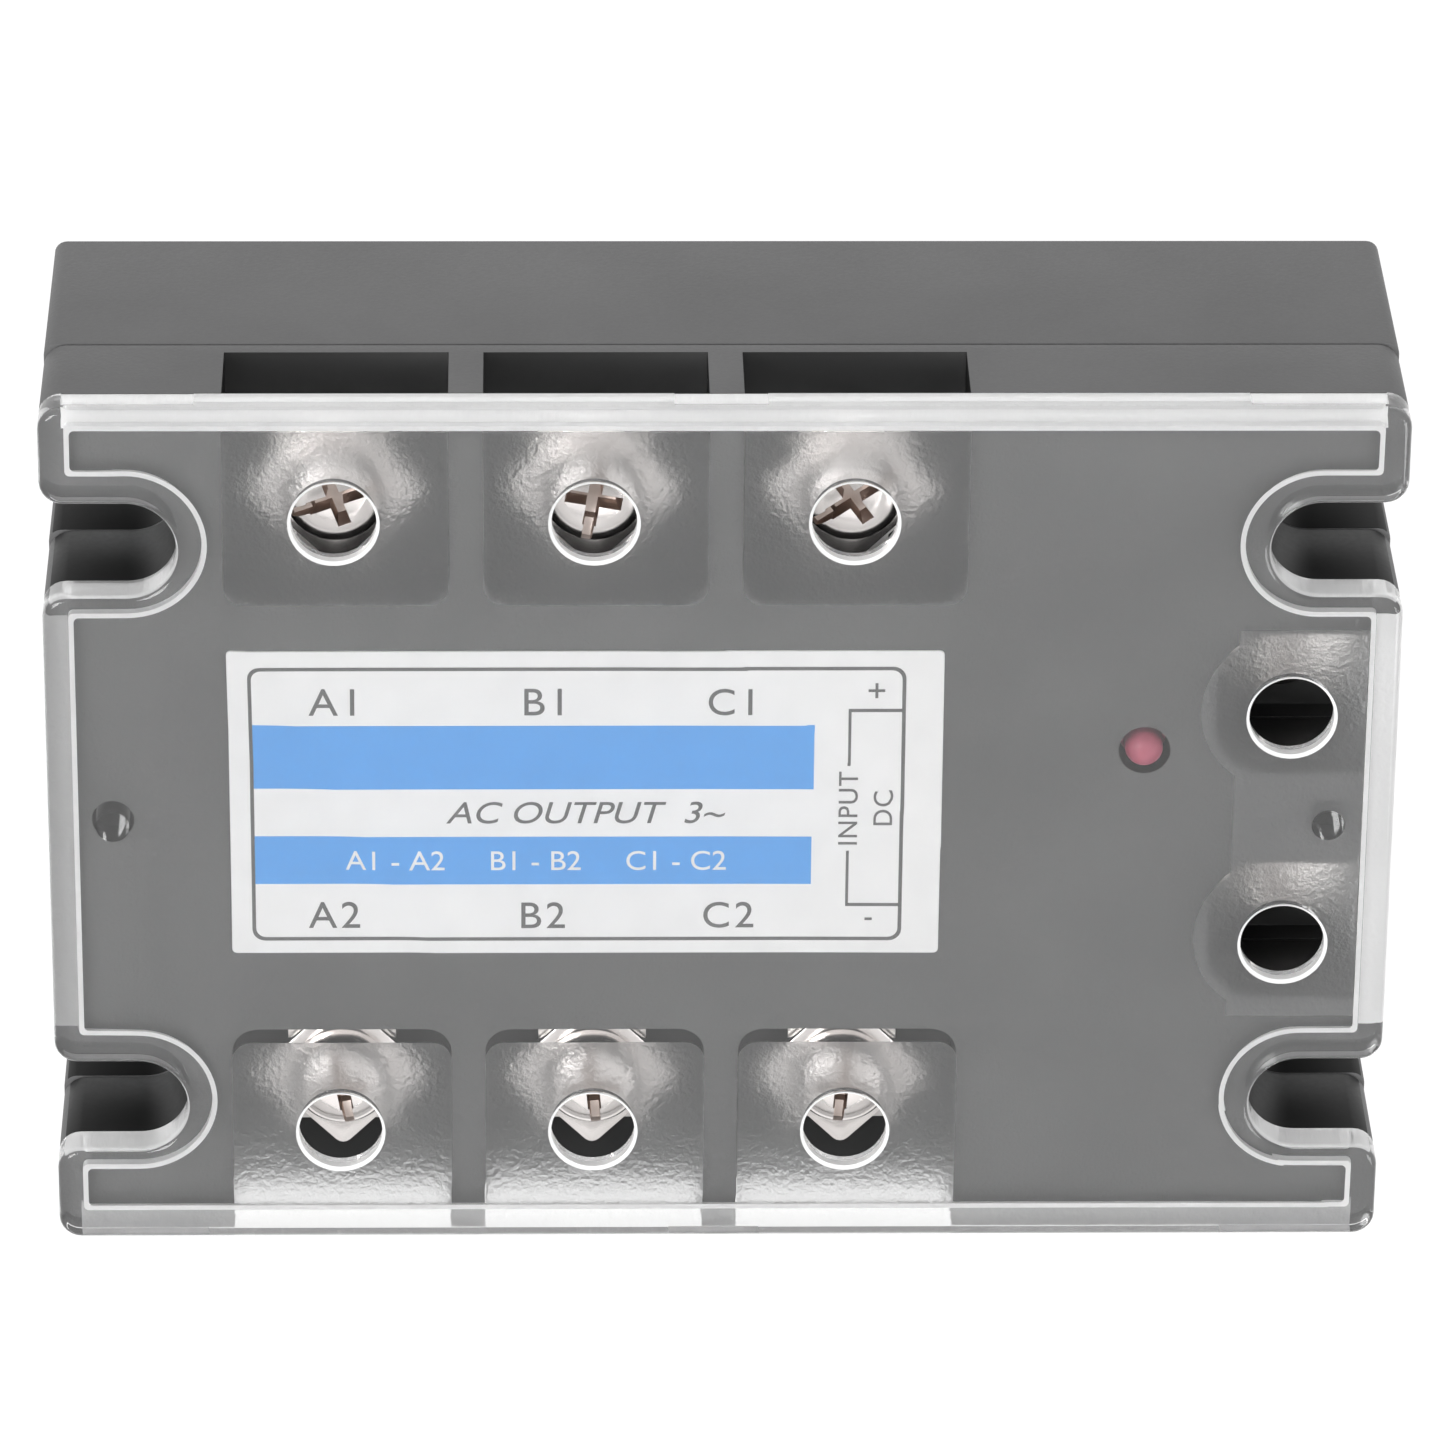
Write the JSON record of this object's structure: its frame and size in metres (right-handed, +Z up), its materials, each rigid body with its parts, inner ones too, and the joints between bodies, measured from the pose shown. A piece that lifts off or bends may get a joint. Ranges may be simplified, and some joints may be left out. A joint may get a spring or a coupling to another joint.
{
  "type": "solid state relay",
  "caption": "Flat three-phase solid state relay with a grey two-part case, clear clip-on terminal cover, screw terminals along both long sides and open mounting notches.",
  "frame": {"origin": "middle of the base plate's underside", "axes": "+X along the long side towards the control terminals, +Y towards the A1 B1 C1 row, +Z up out of the printed face"},
  "size_m": [0.105, 0.073, 0.032],
  "materials": {
    "base_metal": "milled",
    "case_plastic": "fine moulded grain",
    "clear_plastic": "clear, with frosted panels",
    "label_film": "printed",
    "led_resin": "diffused",
    "potting_resin": "cast",
    "board_laminate": "solder mask",
    "ceramic": "fired",
    "silicon": "polished",
    "black_plastic": "moulded",
    "capacitor_coat": "dipped",
    "copper": "tinned copper",
    "nickel_steel": "bright nickel plate"
  },
  "bodies": {
    "housing": {"base_plate": "base_metal", "lower_case": "case_plastic", "upper_case": "case_plastic", "label": "label_film", "led": "led_resin", "potting": "potting_resin", "control_board": "board_laminate", "substrate_a": "ceramic", "thyristor_a1": "silicon", "thyristor_a2": "silicon", "gate_header_a": "black_plastic", "optocoupler_a": "black_plastic", "snubber_capacitor_a": "capacitor_coat", "substrate_b": "ceramic", "thyristor_b1": "silicon", "thyristor_b2": "silicon", "gate_header_b": "black_plastic", "optocoupler_b": "black_plastic", "snubber_capacitor_b": "capacitor_coat", "substrate_c": "ceramic", "thyristor_c1": "silicon", "thyristor_c2": "silicon", "gate_header_c": "black_plastic", "optocoupler_c": "black_plastic", "snubber_capacitor_c": "capacitor_coat", "busbar_a1": "copper", "terminal_nut_a1": "nickel_steel", "busbar_b1": "copper", "terminal_nut_b1": "nickel_steel", "busbar_c1": "copper", "terminal_nut_c1": "nickel_steel", "busbar_a2": "copper", "terminal_nut_a2": "nickel_steel", "busbar_b2": "copper", "terminal_nut_b2": "nickel_steel", "busbar_c2": "copper", "terminal_nut_c2": "nickel_steel", "control_strip_plus": "copper", "control_nut_plus": "nickel_steel", "control_strip_minus": "copper", "control_nut_minus": "nickel_steel"},
    "cover": {"clear_cover": "clear_plastic"},
    "washer_a1": {"clamp_washer_a1": "nickel_steel"},
    "screw_a1": {"terminal_screw_a1": "nickel_steel"},
    "washer_b1": {"clamp_washer_b1": "nickel_steel"},
    "screw_b1": {"terminal_screw_b1": "nickel_steel"},
    "washer_c1": {"clamp_washer_c1": "nickel_steel"},
    "screw_c1": {"terminal_screw_c1": "nickel_steel"},
    "washer_a2": {"clamp_washer_a2": "nickel_steel"},
    "screw_a2": {"terminal_screw_a2": "nickel_steel"},
    "washer_b2": {"clamp_washer_b2": "nickel_steel"},
    "screw_b2": {"terminal_screw_b2": "nickel_steel"},
    "washer_c2": {"clamp_washer_c2": "nickel_steel"},
    "screw_c2": {"terminal_screw_c2": "nickel_steel"},
    "washer_plus": {"control_washer_plus": "nickel_steel"},
    "screw_plus": {"control_screw_plus": "nickel_steel"},
    "washer_minus": {"control_washer_minus": "nickel_steel"},
    "screw_minus": {"control_screw_minus": "nickel_steel"}
  },
  "joints": [
    {"name": "cover_lift", "type": "slide", "parent": "housing", "child": "cover", "axis": [0, 0, 1], "range_m": [0, 0.02]},
    {"name": "washer_a1_rise", "type": "slide", "parent": "housing", "child": "washer_a1", "axis": [0, 0, 1], "range_m": [0, 0.0024]},
    {"name": "screw_a1_turn", "type": "hinge", "parent": "washer_a1", "child": "screw_a1", "pos_m": [-0.03, 0.02595, 0.0234], "axis": [0, 0, 1], "range_deg": [0, 1080]},
    {"name": "washer_b1_rise", "type": "slide", "parent": "housing", "child": "washer_b1", "axis": [0, 0, 1], "range_m": [0, 0.0024]},
    {"name": "screw_b1_turn", "type": "hinge", "parent": "washer_b1", "child": "screw_b1", "pos_m": [-0.01, 0.02595, 0.0234], "axis": [0, 0, 1], "range_deg": [0, 1080]},
    {"name": "washer_c1_rise", "type": "slide", "parent": "housing", "child": "washer_c1", "axis": [0, 0, 1], "range_m": [0, 0.0024]},
    {"name": "screw_c1_turn", "type": "hinge", "parent": "washer_c1", "child": "screw_c1", "pos_m": [0.01, 0.02595, 0.0234], "axis": [0, 0, 1], "range_deg": [0, 1080]},
    {"name": "washer_a2_rise", "type": "slide", "parent": "housing", "child": "washer_a2", "axis": [0, 0, 1], "range_m": [0, 0.0024]},
    {"name": "screw_a2_turn", "type": "hinge", "parent": "washer_a2", "child": "screw_a2", "pos_m": [-0.03, -0.02595, 0.0234], "axis": [0, 0, 1], "range_deg": [0, 1080]},
    {"name": "washer_b2_rise", "type": "slide", "parent": "housing", "child": "washer_b2", "axis": [0, 0, 1], "range_m": [0, 0.0024]},
    {"name": "screw_b2_turn", "type": "hinge", "parent": "washer_b2", "child": "screw_b2", "pos_m": [-0.01, -0.02595, 0.0234], "axis": [0, 0, 1], "range_deg": [0, 1080]},
    {"name": "washer_c2_rise", "type": "slide", "parent": "housing", "child": "washer_c2", "axis": [0, 0, 1], "range_m": [0, 0.0024]},
    {"name": "screw_c2_turn", "type": "hinge", "parent": "washer_c2", "child": "screw_c2", "pos_m": [0.01, -0.02595, 0.0234], "axis": [0, 0, 1], "range_deg": [0, 1080]},
    {"name": "washer_plus_rise", "type": "slide", "parent": "housing", "child": "washer_plus", "axis": [0, 0, 1], "range_m": [0, 0.0018]},
    {"name": "screw_plus_turn", "type": "hinge", "parent": "washer_plus", "child": "screw_plus", "pos_m": [0.0442, 0.01, 0.0192], "axis": [0, 0, 1], "range_deg": [0, 1080]},
    {"name": "washer_minus_rise", "type": "slide", "parent": "housing", "child": "washer_minus", "axis": [0, 0, 1], "range_m": [0, 0.0018]},
    {"name": "screw_minus_turn", "type": "hinge", "parent": "washer_minus", "child": "screw_minus", "pos_m": [0.0442, -0.01, 0.0192], "axis": [0, 0, 1], "range_deg": [0, 1080]}
  ],
  "couplings": [
    {"joint": "screw_a1_turn", "follows": "washer_a1_rise", "rad_per_m": 7853.9},
    {"joint": "screw_b1_turn", "follows": "washer_b1_rise", "rad_per_m": 7853.9},
    {"joint": "screw_c1_turn", "follows": "washer_c1_rise", "rad_per_m": 7853.9},
    {"joint": "screw_a2_turn", "follows": "washer_a2_rise", "rad_per_m": 7853.9},
    {"joint": "screw_b2_turn", "follows": "washer_b2_rise", "rad_per_m": 7853.9},
    {"joint": "screw_c2_turn", "follows": "washer_c2_rise", "rad_per_m": 7853.9},
    {"joint": "screw_plus_turn", "follows": "washer_plus_rise", "rad_per_m": 10472},
    {"joint": "screw_minus_turn", "follows": "washer_minus_rise", "rad_per_m": 10472}
  ]
}
